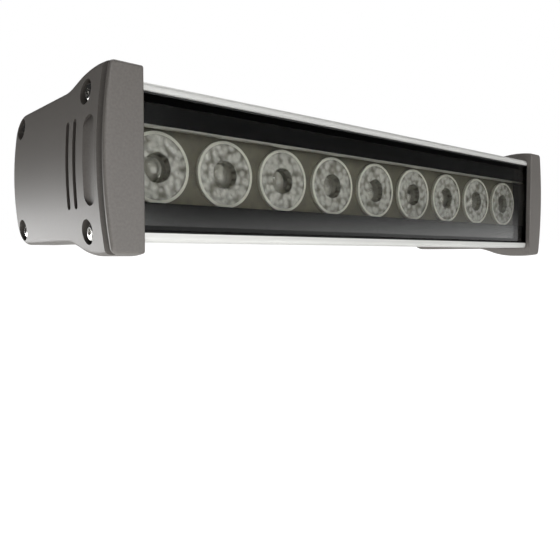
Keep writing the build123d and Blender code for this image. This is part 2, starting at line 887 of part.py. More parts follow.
def lamp_bracket():
    """Bent bracket: a plate on the lamp's back and an ear at the pivot."""
    back = -pivot_to_wall - pivot_to_back
    plate_end = ear_x - lamp_plate_width
    shape = [
        (ear_x, back),
        (plate_end, back),
        (plate_end, back + bracket_steel),
        (ear_x - bracket_steel, back + bracket_steel),
        (ear_x - bracket_steel, -pivot_to_wall + ear_radius),
        (ear_x, -pivot_to_wall + ear_radius),
    ]
    bent = bent_plate(shape, lamp_plate_height)
    uprights = bent.edges().filter_by(Axis.Z)
    outer_bend = uprights.filter_by(lambda e: e.center().Y < back + over and e.center().X > ear_x - over)
    bent = fillet(outer_bend, bracket_outer_bend)
    uprights = bent.edges().filter_by(Axis.Z)
    inner_bend = uprights.filter_by(
        lambda e: back + over < e.center().Y < back + bracket_steel + over
        and plate_end + over < e.center().X < ear_x - over
    )
    bent = fillet(inner_bend, bracket_inner_bend)
    ear = side_trim(ear_outline(back, lamp_plate_height), ear_x - bracket_steel, ear_x)
    plate = side_trim(
        Pos(back + bracket_outer_bend, 0) * Rectangle(2 * bracket_outer_bend, lamp_plate_height),
        plate_end,
        ear_x,
    )
    bent = bent & (ear + plate)
    bent -= rod_x(pivot_radius + pivot_clearance, plate_end, ear_x + over, pivot_depth, 0)
    hole = pivot_radius + track_bolt_hole_clearance
    bolt_x = ear_x - track_bolt_inset
    return bent - rod_y(hole, housing_depth - over, housing_depth + bracket_steel + over, bolt_x, 0)


def wall_bracket():
    """Bent bracket: a foot with two screw holes on the wall and an ear at the pivot."""
    inner = ear_x + pivot_washer_thickness
    foot_end = inner + foot_width
    shape = [
        (inner, 0),
        (foot_end, 0),
        (foot_end, -bracket_steel),
        (inner + bracket_steel, -bracket_steel),
        (inner + bracket_steel, -pivot_to_wall - ear_radius),
        (inner, -pivot_to_wall - ear_radius),
    ]
    bent = bent_plate(shape, foot_height)
    uprights = bent.edges().filter_by(Axis.Z)
    outer_bend = uprights.filter_by(lambda e: e.center().Y > -over and e.center().X < inner + over)
    bent = fillet(outer_bend, bracket_outer_bend)
    uprights = bent.edges().filter_by(Axis.Z)
    inner_bend = uprights.filter_by(
        lambda e: -bracket_steel - over < e.center().Y < -over
        and inner + over < e.center().X < foot_end - over
    )
    bent = fillet(inner_bend, bracket_inner_bend)
    ear = side_trim(ear_outline(0, foot_height), inner, inner + bracket_steel)
    foot = side_trim(
        Pos(-bracket_outer_bend, 0) * Rectangle(2 * bracket_outer_bend, foot_height), inner, foot_end
    )
    bent = bent & (ear + foot)
    corners = bent.edges().filter_by(Axis.Y).filter_by(lambda e: e.center().X > foot_end - over)
    bent = fillet(corners, foot_round)
    bent -= rod_x(pivot_radius + pivot_clearance, inner - over, foot_end, pivot_depth, 0)
    wall_depth = pivot_depth + pivot_to_wall
    for side in (-1, 1):
        z = side * foot_hole_spacing / 2
        hole_x = foot_end - foot_hole_edge
        bent -= rod_y(foot_hole_radius, wall_depth - bracket_steel - over, wall_depth + over, hole_x, z)
    return bent


def pivot_bolt():
    """Hexagon bolt through both ears, with its head outside."""
    head_start = ear_x + pivot_washer_thickness + bracket_steel
    nut_end = ear_x - bracket_steel - nut_height
    bolt = hex_x(hex_flats, head_start, head_start + bolt_head_height, pivot_depth, 0)
    shank = rod_x(pivot_radius, nut_end - bolt_end_stand, head_start, pivot_depth, 0)
    tip = shank.edges().sort_by(Axis.X)[0]
    return bolt + chamfer(tip, bolt_end_chamfer)


def pivot_nut():
    """Nut against the inner ear."""
    end = ear_x - bracket_steel
    nut = hex_x(hex_flats, end - nut_height, end, pivot_depth, 0)
    return nut - rod_x(pivot_radius + thread_clearance, end - nut_height - over, end + over, pivot_depth, 0)


def pivot_washer():
    """Friction washer between the ears."""
    end = ear_x + pivot_washer_thickness
    washer = rod_x(pivot_washer_radius, ear_x, end, pivot_depth, 0)
    return washer - rod_x(pivot_radius + pivot_clearance, ear_x - over, end + over, pivot_depth, 0)


def track_bolt():
    """Square-headed bolt whose head is held in the housing's track."""
    x = ear_x - track_bolt_inset
    seat = housing_depth - track_lip
    half = track_bolt_head / 2
    head = block(x - half, x + half, seat - track_bolt_head_height, seat, -half, half)
    end = housing_depth + bracket_steel + nut_height + nut_flange_height + bolt_end_stand
    shank = rod_y(pivot_radius, seat, end, x, 0)
    tip = shank.edges().sort_by(Axis.Y)[-1]
    return head + chamfer(tip, bolt_end_chamfer)


def track_nut():
    """Flanged nut on the track bolt."""
    x = ear_x - track_bolt_inset
    seat = housing_depth + bracket_steel
    top = seat + nut_flange_height + nut_height
    nut = rod_y(nut_flange_radius, seat, seat + nut_flange_height, x, 0)
    nut += hex_y(hex_flats, seat + nut_flange_height, top, x, 0)
    return nut - rod_y(pivot_radius + thread_clearance, seat - over, top + over, x, 0)


def both_sides(shape):
    """A piece and its mirror image at the other end of the lamp, as separate solids."""
    return Part() + [shape, mirror(shape, Plane.YZ)]


# Write every piece
save("housing_extrusion", housing())
save("front_glass", front_glass())
save("glass_gasket_upper", glass_gasket(1))
save("glass_gasket_lower", glass_gasket(-1))
save("upper_bezel", bezel(1))
save("lower_bezel", bezel(-1))
save("lens_plate", lens_plate())
save("plate_pillars", plate_pillars())
save("plate_screws", Part() + [small_screw(plate_front, x, z) for x, z in pillar_places()])
save("led_board", led_board())
save("board_screws", Part() + [small_screw(board_front, x, z) for x, z in board_screw_places()])
emitter = led_emitter()
save("led_emitters", Part() + [Pos(x, depth_y(board_front), 0) * emitter for x in lens_places])
one_lens = lens()
one_holder = lens_holder()
for number, x in enumerate(lens_places, start=1):
    save(f"lens_{number}", Pos(x, depth_y(lens_front), 0) * one_lens)
    save(f"lens_holder_{number}", Pos(x, depth_y(plate_back), 0) * one_holder)
save("driver_board", driver_board())
save("driver_transformer", driver_transformer())
save("smoothing_capacitor", smoothing_capacitor())
save("filter_choke", filter_choke())
save("terminal_block", terminal_block())
save("led_lead_positive", led_lead(1))
save("led_lead_negative", led_lead(-1))
save("wire_grommet", wire_grommet())
save("end_cap_right", end_cap(gland=True))
save("end_cap_left", mirror(end_cap(gland=False), Plane.YZ))
gasket = end_gasket()
save("end_gasket_right", gasket)
save("end_gasket_left", mirror(gasket, Plane.YZ))
screws = cap_screws()
save("end_cap_screws_right", screws)
save("end_cap_screws_left", mirror(screws, Plane.YZ))
save("cable_gland_body", cable_gland_body())
save("gland_washer", gland_washer())
save("gland_locknut", gland_locknut())
save("gland_seal", gland_seal())
save("gland_nut", gland_nut())
bracket = lamp_bracket()
save("lamp_bracket_right", bracket)
save("lamp_bracket_left", mirror(bracket, Plane.YZ))
foot_piece = wall_bracket()
save("wall_bracket_right", foot_piece)
save("wall_bracket_left", mirror(foot_piece, Plane.YZ))
save("pivot_bolts", both_sides(pivot_bolt()))
save("pivot_nuts", both_sides(pivot_nut()))
save("pivot_washers", both_sides(pivot_washer()))
save("track_bolts", both_sides(track_bolt()))
save("track_nuts", both_sides(track_nut()))
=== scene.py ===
# %% [markdown]
# A linear floodlight, dressed in Blender
#
# The lamp is an aluminium bar with nine lensed diodes behind a glass pane, a cast cap on each end
# and two tilting brackets on its back. Its sizes are fixed already: the frame below holds every
# piece as a mesh in metres, with X along the bar, Z up and the light leaving towards -Y.
# This lesson gives the pieces their finish, and models again the ones whose charm is in detail
# that a plain solid leaves out, such as the pebbled lenses, the socket screws and the threads.

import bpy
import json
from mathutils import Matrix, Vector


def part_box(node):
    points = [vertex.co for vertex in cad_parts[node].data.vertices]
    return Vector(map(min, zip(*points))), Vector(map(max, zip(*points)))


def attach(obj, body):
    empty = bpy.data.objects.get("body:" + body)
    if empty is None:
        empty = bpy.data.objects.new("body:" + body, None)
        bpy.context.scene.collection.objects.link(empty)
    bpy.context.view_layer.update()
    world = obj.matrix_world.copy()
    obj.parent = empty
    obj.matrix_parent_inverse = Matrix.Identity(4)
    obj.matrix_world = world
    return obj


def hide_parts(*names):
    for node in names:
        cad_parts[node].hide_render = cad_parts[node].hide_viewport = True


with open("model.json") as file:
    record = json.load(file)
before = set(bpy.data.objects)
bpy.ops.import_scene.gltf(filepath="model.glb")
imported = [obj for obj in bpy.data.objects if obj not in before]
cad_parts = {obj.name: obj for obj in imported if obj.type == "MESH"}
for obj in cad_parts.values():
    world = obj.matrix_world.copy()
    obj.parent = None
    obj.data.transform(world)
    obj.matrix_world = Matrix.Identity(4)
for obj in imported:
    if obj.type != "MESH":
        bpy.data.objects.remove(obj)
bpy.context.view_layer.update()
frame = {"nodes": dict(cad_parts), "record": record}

# %% Imports, units and directions
import json
import math

import bmesh
import bpy
from mathutils import Matrix, Vector

MM = 0.001
FULL_TURN = 2 * math.pi
QUARTER_TURN = math.pi / 2
RIGHT = Vector((1, 0, 0))
BACK = Vector((0, 1, 0))
UP = Vector((0, 0, 1))

# %% [markdown]
# Camera
#
# The photograph was taken close to the left end and a little below the lamp's middle, so the bar
# runs away to the right and its underside shows. The place and lens below come from fitting the
# bar's edges, the two caps and the nine lenses to that view.

# %% Camera
camera_place = Vector((-235.4, -320.9, -32.4)) * MM
camera_yaw = 0.7117
camera_pitch = -0.041
focal_pixels = 603.7
image_pixels = 560
sensor_mm = 36.0
nearest_mm = 10

look = Vector(
    (
        math.sin(camera_yaw) * math.cos(camera_pitch),
        math.cos(camera_yaw) * math.cos(camera_pitch),
        math.sin(camera_pitch),
    )
)
camera_data = bpy.data.cameras.new("camera")
camera_data.sensor_width = sensor_mm
camera_data.lens = focal_pixels / image_pixels * sensor_mm
camera_data.clip_start = nearest_mm * MM
camera = bpy.data.objects.new("camera", camera_data)
camera.location = camera_place
camera.rotation_euler = look.to_track_quat("-Z", "Y").to_euler()
bpy.context.scene.collection.objects.link(camera)
bpy.context.scene.camera = camera
bpy.context.scene.view_settings.view_transform = "Standard"
print(f"camera lens {camera_data.lens:.1f} mm")

# %% [markdown]
# How the materials are written
#
# Colours are picked as the sRGB hex values that one reads off a screen, and one function turns
# them to the linear values that a shader works with. Another adds a node, sets it and links it.
# Patterns read Object coordinates in metres, so a pattern's scale is one over its real size.
# Marks finer than about a quarter of a millimetre would not show from where the camera stands,
# so die lines, polishing marks and moulded skins are drawn that coarse.

# %% Material helpers
WHITE = "FFFFFF"
# A Mix node has sockets for each type of data, so its two colours and its result go by number.
MIX_FIRST, MIX_SECOND, MIX_RESULT = 6, 7, 2
# Most of a noise lies between these two values.
NOISE_LOW, NOISE_HIGH = 0.3, 0.7


def linear(hex_colour):
    """Linear RGBA of an sRGB hex colour."""
    channels = [int(hex_colour[i : i + 2], 16) / 255 for i in (0, 2, 4)]
    return [c / 12.92 if c <= 0.04045 else ((c + 0.055) / 1.055) ** 2.4 for c in channels] + [1.0]


def add(material, kind, inputs=None, **settings):
    """Add a node with its settings. An input takes a value or another node's output."""
    made = material.node_tree.nodes.new(kind)
    for name, value in settings.items():
        setattr(made, name, value)
    for name, value in (inputs or {}).items():
        if isinstance(value, bpy.types.NodeSocket):
            material.node_tree.links.new(value, made.inputs[name])
        else:
            made.inputs[name].default_value = value
    return made


def new_material(name):
    """Material with an empty node tree."""
    material = bpy.data.materials.new(name)
    material.use_nodes = True
    material.node_tree.nodes.clear()
    return material


def close(material, shader):
    """Link the last shader to the output."""
    add(material, "ShaderNodeOutputMaterial", {"Surface": shader.outputs[0]})
    return material


# %% Patterns that the finishes share
def grain(material, size_mm, height_mm, stretch=(1, 1, 1), detail=2.0):
    """Noise with features of a real size, and the bump that it makes."""
    where = add(material, "ShaderNodeTexCoord")
    place = add(
        material,
        "ShaderNodeMapping",
        {"Vector": where.outputs["Object"], "Scale": stretch},
    )
    noise = add(
        material,
        "ShaderNodeTexNoise",
        {"Vector": place.outputs[0], "Scale": 1 / (size_mm * MM), "Detail": detail},
    )
    bump = add(
        material,
        "ShaderNodeBump",
        {"Height": noise.outputs["Fac"], "Distance": height_mm * MM},
    )
    return noise.outputs["Fac"], bump.outputs["Normal"]


def ranged(material, pattern, low=0.0, high=1.0):
    """Value that drifts between two numbers with a pattern, such as a roughness."""
    spread = add(
        material,
        "ShaderNodeMapRange",
        {
            "Value": pattern,
            "From Min": NOISE_LOW,
            "From Max": NOISE_HIGH,
            "To Min": low,
            "To Max": high,
        },
    )
    return spread.outputs[0]


def mottled(material, pattern, dark, light):
    """Colour that drifts between two hex colours with a pattern."""
    mix = add(
        material,
        "ShaderNodeMix",
        {
            "Factor": ranged(material, pattern),
            MIX_FIRST: linear(dark),
            MIX_SECOND: linear(light),
        },
        data_type="RGBA",
    )
    return mix.outputs[MIX_RESULT]


# %% [markdown]
# Floor, room and light
#
# A white floor lies well below the lamp, because the camera is as low as the lamp is. The white
# background comes from what the camera's own rays see, and not from more light on the object, so
# the floor glows for those rays. Near the lamp it glows less, because lit paper makes up the rest
# there and keeps the object's shadow. Metal and glass see the glow dimmed to about a third: at
# full white the lower screw heads and the pane would be too pale.

# %% Floor
floor_drop = 0.42
floor_half = 4.0

bpy.ops.object.select_all(action="DESELECT")
bpy.ops.mesh.primitive_plane_add(size=2 * floor_half, location=(0, 0, -floor_drop))
floor = bpy.context.object
floor.name = "floor"
print(f"floor {floor_drop / MM:.0f} mm below the lamp's middle")

# %% White paper on the floor
paper_colour = "EFEFEC"
floor_seen_near = 0.75
floor_seen_far = 1.0
floor_fade = 1.8
floor_mirrored = 0.38

white_paper = new_material("white_paper_floor")
floor_ray = add(white_paper, "ShaderNodeLightPath")
mirror_or_glass = add(
    white_paper,
    "ShaderNodeMath",
    {0: floor_ray.outputs["Is Glossy Ray"], 1: floor_ray.outputs["Is Transmission Ray"]},
    operation="MAXIMUM",
)
mirrored = add(
    white_paper,
    "ShaderNodeMath",
    {0: mirror_or_glass.outputs[0], 1: floor_mirrored},
    operation="MULTIPLY",
)
floor_place = add(white_paper, "ShaderNodeTexCoord")
reach = add(
    white_paper,
    "ShaderNodeVectorMath",
    {0: floor_place.outputs["Object"]},
    operation="LENGTH",
)
fill = add(
    white_paper,
    "ShaderNodeMapRange",
    {
        "Value": reach.outputs["Value"],
        "From Min": 0.0,
        "From Max": floor_fade,
        "To Min": floor_seen_near,
        "To Max": floor_seen_far,
    },
    interpolation_type="SMOOTHSTEP",
)
seen = add(
    white_paper,
    "ShaderNodeMath",
    {0: floor_ray.outputs["Is Camera Ray"], 1: fill.outputs[0]},
    operation="MULTIPLY",
)
floor_level = add(
    white_paper,
    "ShaderNodeMath",
    {0: seen.outputs[0], 1: mirrored.outputs[0]},
    operation="MAXIMUM",
)
glow = add(
    white_paper,
    "ShaderNodeEmission",
    {"Color": linear(WHITE), "Strength": floor_level.outputs[0]},
)
paper = add(white_paper, "ShaderNodeBsdfDiffuse", {"Color": linear(paper_colour)})
both = add(white_paper, "ShaderNodeAddShader", {0: paper.outputs[0], 1: glow.outputs[0]})
close(white_paper, both)
floor.data.materials.append(white_paper)
print(f"the camera sees the floor at {floor_seen_near} to {floor_seen_far}")

# %% [markdown]
# Room
#
# In the photograph the pane stays dark, although it mirrors the room in front of it, and the cap
# is palest near its foot. So the light comes from low down: the room is white up to the horizon
# and falls to a dark ceiling a few degrees above it. The camera sees white all the way up.

# %% Room
horizon_level = 1.15
ceiling_level = 0.03
ceiling_start = 0.085

world = bpy.data.worlds.new("white_room")
bpy.context.scene.world = world
world.use_nodes = True
world.node_tree.nodes.clear()
room_ray = add(world, "ShaderNodeLightPath")
room_place = add(world, "ShaderNodeTexCoord")
steepness = add(world, "ShaderNodeSeparateXYZ", {0: room_place.outputs["Generated"]})
room_fade = add(
    world,
    "ShaderNodeMapRange",
    {
        "Value": steepness.outputs["Z"],
        "From Min": 0.0,
        "From Max": ceiling_start,
        "To Min": horizon_level,
        "To Max": ceiling_level,
    },
    interpolation_type="SMOOTHSTEP",
)
room_level = add(
    world,
    "ShaderNodeMath",
    {0: room_fade.outputs[0], 1: room_ray.outputs["Is Camera Ray"]},
    operation="MAXIMUM",
)
room = add(
    world,
    "ShaderNodeBackground",
    {"Color": linear(WHITE), "Strength": room_level.outputs[0]},
)
add(world, "ShaderNodeOutputWorld", {"Surface": room.outputs[0]})
print(f"room from {horizon_level} at the horizon to {ceiling_level} overhead")

# %% [markdown]
# Lamps
#
# Seven soft lamps shape the object. A wide one overhead lights the top, one behind on the left
# rounds the cap's end, and one low on the left brightens its foot. In front, a large one lights
# the lenses and a small, high one puts sparks in them. The first two in the table lift the front
# bands of the caps. Mirror and glass rays miss those two, because from the side the pane would
# show them as white cards.

# %% Lamps
lamp_aim = Vector((0, -0.08, 0))
lamp_table = {
    # name: (place, size, both in metres, watts, whether metal and glass show it)
    "front_right": ((0.75, -0.95, -0.27), (0.9, 0.28), 1.5, False),
    "near_front": ((-0.17, -0.24, -0.15), (0.12, 0.06), 0.08, False),
    "soft_front": ((0.0, -1.0, -0.1), (0.6, 0.6), 3.3, True),
    "back_left": ((-0.6, 0.85, -0.2), (0.5, 0.4), 3.6, True),
    "low_left": ((-0.3, -0.12, -0.39), (0.25, 0.25), 1.0, True),
    "small_front": ((-0.5, -1.0, 0.5), (0.2, 0.2), 2.0, True),
    "overhead": ((0.1, 0.25, 1.0), (1.0, 1.0), 6.0, True),
}
for name, (place, size, watts, shown) in lamp_table.items():
    light = bpy.data.lights.new(name, "AREA")
    light.shape = "RECTANGLE"
    light.size, light.size_y = size
    light.energy = watts
    lamp = bpy.data.objects.new(name, light)
    lamp.location = place
    lamp.rotation_euler = (lamp_aim - lamp.location).to_track_quat("-Z", "Y").to_euler()
    lamp.visible_camera = False
    lamp.visible_glossy = shown
    lamp.visible_transmission = shown
    bpy.context.scene.collection.objects.link(lamp)
print(f"{len(lamp_table)} lamps")

# %% [markdown]
# Metals
#
# The bar is extruded aluminium with a natural anodised finish: pale, satin, and faintly streaked
# along its length where the die drew it. Its oxide skin scatters light much as paint does, so the
# shader is only partly metallic. The cap screws are polished stainless steel, the pillars of the
# lens plate nickel-plated brass, which is warmer, and the bracket bolts zinc-plated steel, which
# is greyer and slightly cloudy.

# %% Aluminium
def anodised_aluminium():
    """Pale satin metal with fine streaks along the bar."""
    material = new_material("satin_anodised_aluminium")
    streaks, normal = grain(material, size_mm=0.35, height_mm=0.004, stretch=(0.01, 1, 1))
    shader = add(
        material,
        "ShaderNodeBsdfPrincipled",
        {
            "Base Color": mottled(material, streaks, "DCDCD9", "E8E8E5"),
            "Metallic": 0.3,
            "Roughness": ranged(material, streaks, 0.44, 0.54),
            "Normal": normal,
        },
    )
    return close(material, shader)


looks = {"anodised_aluminium": anodised_aluminium()}
print("aluminium done")


# %% Steels and brass
def polished_steel():
    """Bright stainless steel with hair-fine polishing marks."""
    material = new_material("polished_stainless_steel")
    marks, normal = grain(material, size_mm=0.3, height_mm=0.002, stretch=(1, 0.2, 1))
    shader = add(
        material,
        "ShaderNodeBsdfPrincipled",
        {
            "Base Color": linear("C9C8C6"),
            "Metallic": 1.0,
            "Roughness": ranged(material, marks, 0.12, 0.22),
            "Normal": normal,
        },
    )
    return close(material, shader)


def plated(name, dark, light, smooth, rough, size_mm, height_mm, **pattern):
    """Plated metal whose colour and gloss drift together with one pattern."""
    material = new_material(name)
    drift, normal = grain(material, size_mm, height_mm, **pattern)
    shader = add(
        material,
        "ShaderNodeBsdfPrincipled",
        {
            "Base Color": mottled(material, drift, dark, light),
            "Metallic": 1.0,
            "Roughness": ranged(material, drift, smooth, rough),
            "Normal": normal,
        },
    )
    return close(material, shader)


looks["bright_steel"] = polished_steel()
# Warm, bright plating over brass, with the marks of turning.
looks["nickel_brass"] = plated(
    "nickel_plated_brass",
    dark="BDB6A6",
    light="CFC9BA",
    smooth=0.2,
    rough=0.3,
    size_mm=0.25,
    height_mm=0.003,
    stretch=(1, 0.2, 1),
)
# Grey plating, cloudy at the scale of a few millimetres.
looks["zinc_steel"] = plated(
    "zinc_plated_steel",
    dark="A9ABAE",
    light="BEC0C2",
    smooth=0.28,
    rough=0.42,
    size_mm=2.5,
    height_mm=0.006,
    detail=4.0,
)
print(f"{len(looks)} metals")

# %% [markdown]
# Paints
#
# The caps are cast aluminium under a warm grey powder coat. Baked powder levels into a satin skin
# with a faint orange peel, so it takes soft, wide highlights. Shade is painted into the coat
# behind
# the front band and in the grooves: an Ambient Occlusion node finds these recesses by how little
# of the surroundings they see, and darkens the colour there. The same coat covers the brackets.
# The bezel strips are gloss black, bare along their sawn edge, and the lens plate is olive-grey.

# %% Powder coat
# Painted shade: the coat turns to this dark colour in its recesses, where shade falls.
recess_shade_colour = "45413D"
shade_reach_mm = 9.0
# The open share of the surroundings where the painted shade is full, and where it ends.
shade_full, shade_end = 0.74, 0.99


def powder_coat(name, dark, light):
    """Satin paint with orange peel about a millimetre across, and shade painted into its recesses.
    """
    material = new_material(name)
    peel, normal = grain(material, size_mm=0.9, height_mm=0.012)
    recess = add(
        material,
        "ShaderNodeAmbientOcclusion",
        {"Distance": shade_reach_mm * MM},
        samples=8,
        only_local=True,
    )
    unshaded = add(
        material,
        "ShaderNodeMapRange",
        {"Value": recess.outputs["AO"], "From Min": shade_full, "From Max": shade_end},
    )
    # Painted shade: the coat's colour is darkened towards the shade colour where the Ambient
    # Occlusion node finds a recess.
    coat = add(
        material,
        "ShaderNodeMix",
        {
            "Factor": unshaded.outputs[0],
            MIX_FIRST: linear(recess_shade_colour),
            MIX_SECOND: mottled(material, peel, dark, light),
        },
        data_type="RGBA",
    )
    shader = add(
        material,
        "ShaderNodeBsdfPrincipled",
        {
            "Base Color": coat.outputs[MIX_RESULT],
            "Roughness": ranged(material, peel, 0.40, 0.48),
            "Specular IOR Level": 0.6,
            "Normal": normal,
        },
    )
    return close(material, shader)


looks["grey_powder_coat"] = powder_coat("powder_coat_on_cast_aluminium", "65615D", "6F6B67")
looks["grey_bracket_coat"] = powder_coat("powder_coat_on_bent_steel", "615E5A", "6A6763")
print("powder coats done")

# %% Enamel and plate paint
sawn_slope = -0.5


def bezel_enamel():
    """Gloss black paint, with bare metal on the sawn edge that looks down at the window."""
    material = new_material("black_enamel_on_strip")
    ripple, normal = grain(material, size_mm=3.0, height_mm=0.006)
    paint = add(
        material,
        "ShaderNodeBsdfPrincipled",
        {
            "Base Color": linear("0B0A0B"),
            "Roughness": ranged(material, ripple, 0.18, 0.26),
            "Normal": normal,
        },
    )
    metal = add(
        material,
        "ShaderNodeBsdfPrincipled",
        {"Base Color": linear("D8D6D0"), "Metallic": 1.0, "Roughness": 0.38},
    )
    where = add(material, "ShaderNodeTexCoord")
    facing = add(material, "ShaderNodeSeparateXYZ", {0: where.outputs["Normal"]})
    sawn = add(
        material,
        "ShaderNodeMath",
        {0: facing.outputs["Z"], 1: sawn_slope},
        operation="LESS_THAN",
    )
    mix = add(
        material,
        "ShaderNodeMixShader",
        {0: sawn.outputs[0], 1: paint.outputs[0], 2: metal.outputs[0]},
    )
    return close(material, mix)


def plate_paint():
    """Olive-grey satin paint with a slight cloudiness."""
    material = new_material("olive_satin_paint")
    clouds, normal = grain(material, size_mm=4.0, height_mm=0.01, detail=5.0)
    shader = add(
        material,
        "ShaderNodeBsdfPrincipled",
        {
            "Base Color": mottled(material, clouds, "676356", "777263"),
            "Roughness": ranged(material, clouds, 0.42, 0.55),
            "Normal": normal,
        },
    )
    return close(material, shader)


looks["black_enamel"] = bezel_enamel()
looks["olive_plate"] = plate_paint()
print("enamel and plate paint done")

# %% [markdown]
# Glass and acrylic
#
# The pane is clear float glass with an almost invisible green cast. The lenses are moulded
# acrylic, which bends light a little less than glass, in three finishes. The face is pebbled, so
# it scatters most of the light, and its colour is painted paler in each pebble's middle and greyer
# round it, for the light and shade that the pebbles throw. The rim is left frosted by the mould
# and catches the light as a pale ring. The core in the middle is polished and almost clear.

# %% Glass and acrylic
glass_ior = 1.52
acrylic_ior = 1.49
cell_mm = 2.4
cell_height_mm = 0.8


def clear(name, colour, roughness, ior, clarity):
    """Clear solid that bends light. What it doesn't let through it scatters."""
    material = new_material(name)
    shader = add(
        material,
        "ShaderNodeBsdfPrincipled",
        {
            "Base Color": linear(colour),
            "Roughness": roughness,
            "IOR": ior,
            "Transmission Weight": clarity,
        },
    )
    return close(material, shader)


def pebbled_acrylic():
    """Half-clear acrylic whose colour holds painted light and shade, paler in the middle of each
    cell.
    """
    material = new_material("pebbled_moulded_acrylic")
    where = add(material, "ShaderNodeTexCoord")
    cells = add(
        material,
        "ShaderNodeTexVoronoi",
        {"Vector": where.outputs["Object"], "Scale": 1 / (cell_mm * MM), "Randomness": 1.0},
        feature="SMOOTH_F1",
    )
    bump = add(
        material,
        "ShaderNodeBump",
        {"Height": cells.outputs["Distance"], "Distance": cell_height_mm * MM},
        invert=True,
    )
    shader = add(
        material,
        "ShaderNodeBsdfPrincipled",
        {
            # Painted light and shade: each pebble is paler in its middle and greyer at its edge,
            # as light through the pebbles would fall.
            "Base Color": mottled(material, cells.outputs["Distance"], "FFFDF5", "9A968A"),
            "Roughness": 0.08,
            "IOR": acrylic_ior,
            "Transmission Weight": 0.36,
            "Normal": bump.outputs["Normal"],
        },
    )
    return close(material, shader)


def frosted_acrylic():
    """Moulded rim: pale, hardly clear, with a fine tooth."""
    material = new_material("frosted_acrylic")
    tooth, normal = grain(material, size_mm=0.25, height_mm=0.01)
    shader = add(
        material,
        "ShaderNodeBsdfPrincipled",
        {
            "Base Color": mottled(material, tooth, "EAE9DC", "F6F5EA"),
            "Roughness": 0.45,
            "IOR": acrylic_ior,
            "Transmission Weight": 0.1,
            "Normal": normal,
        },
    )
    return close(material, shader)


looks["clear_glass"] = clear(
    "clear_float_glass", "F9FAF8", roughness=0.0, ior=glass_ior, clarity=1.0
)
looks["clear_acrylic"] = pebbled_acrylic()
rim_look = frosted_acrylic()
core_look = clear(
    "clear_moulded_acrylic", "FAF8F0", roughness=0.03, ior=acrylic_ior, clarity=0.95
)
print("glass and acrylic done")

# %% [markdown]
# Plastic, rubber and small electrics
#
# What is moulded, dipped or sprayed has a fine skin that breaks up its highlight, rougher on
# rubber than on hard plastic. One function makes them all, and the table gives each its colours,
# roughness and the size of its skin. The choke's copper wire is enamelled, so it keeps its colour
# and shines along its turns.

# %% Plastic, rubber and solder resist
roughness_drift = 0.05


def moulded(name, dark, light, roughness, size_mm):
    """Moulded plastic or rubber with a fine skin."""
    material = new_material(name)
    skin, normal = grain(material, size_mm, height_mm=0.006)
    smooth, rough = roughness - roughness_drift, roughness + roughness_drift
    shader = add(
        material,
        "ShaderNodeBsdfPrincipled",
        {
            "Base Color": mottled(material, skin, dark, light),
            "Roughness": ranged(material, skin, smooth, rough),
            "Normal": normal,
        },
    )
    return close(material, shader)


moulded_table = {
    # slot: (material, dark and light colour, roughness, skin in mm), and what the eye sees
    "black_rubber": ("black_silicone_rubber", "161616", "1E1E1E", 0.6, 0.4),  # dull seals
    "black_nylon": ("black_moulded_nylon", "1A1A1A", "222222", 0.45, 0.4),  # satin gland
    "nylon_washer": ("natural_nylon", "CFCFC8", "DADAD4", 0.45, 0.4),  # milky washers
    "holder_plastic": ("white_moulded_nylon", "D2D0C8", "DEDCD4", 0.5, 0.4),  # white holders
    "diode_package": ("moulded_diode_package", "D8D4C4", "E4E0D2", 0.35, 0.4),  # creamy, glossy
    "white_board": ("white_solder_resist", "CFD0CA", "DCDDD8", 0.35, 1.5),  # sprayed, smooth
    "green_laminate": ("green_solder_resist", "12492A", "175A34", 0.35, 1.5),  # deep green board
    "ferrite": ("dark_ferrite", "1B1B1D", "26262A", 0.5, 0.4),  # sintered, matt and dark
    "capacitor_sleeve": ("shrunk_sleeve", "121528", "181C33", 0.3, 0.4),  # tight, shiny film
    "green_terminal": ("green_polyamide", "1C6A3C", "237A48", 0.4, 0.4),  # bright green block
    "red_insulation": ("red_wire_insulation", "8E1512", "A01A16", 0.4, 0.4),  # waxy red
    "black_insulation": ("black_wire_insulation", "141414", "1C1C1C", 0.4, 0.4),  # waxy black
}
for slot, row in moulded_table.items():
    looks[slot] = moulded(*row)
print(f"{len(moulded_table)} moulded finishes")


# %% Copper wire
def wound_copper():
    """Enamelled copper wire, seen as turns half a millimetre apart round the choke's ring."""
    material = new_material("enamelled_copper_wire")
    turns, _ = grain(material, size_mm=0.5, height_mm=0.05, stretch=(1, 0.1, 1))
    shader = add(
        material,
        "ShaderNodeBsdfPrincipled",
        {
            "Base Color": mottled(material, turns, "8C4A22", "C27840"),
            "Metallic": 1.0,
            "Roughness": 0.3,
        },
    )
    return close(material, shader)


looks["copper_winding"] = wound_copper()
print(f"{len(looks)} finishes")

# %% Finishes on the frame's own pieces
slot_of = {entry["node"]: entry["material_slot"] for entry in frame["record"]["subparts"]}
for node, obj in frame["nodes"].items():
    for index in range(len(obj.data.materials)):
        obj.data.materials[index] = looks[slot_of[node]]
print(f"{len(slot_of)} nodes finished")

# %% [markdown]
# Modelling helpers
#
# An operator acts on whatever is selected, so each step starts by deselecting everything. Faces
# and points are picked in code, by where they are. A round piece is easiest to spin: a profile is
# drawn by extruding one point after another, and a full turn about its axis makes the surface.

# %% Selecting, shading and modifying
SMOOTH_DEGREES = 35


def alone(obj):
    """Select one object only and make it active."""
    bpy.ops.object.select_all(action="DESELECT")
    obj.select_set(True)
    bpy.context.view_layer.objects.active = obj


def shaded(obj, degrees=SMOOTH_DEGREES):
    """Smooth shading with sharp edges kept."""
    alone(obj)
    bpy.ops.object.shade_smooth_by_angle(angle=math.radians(degrees))


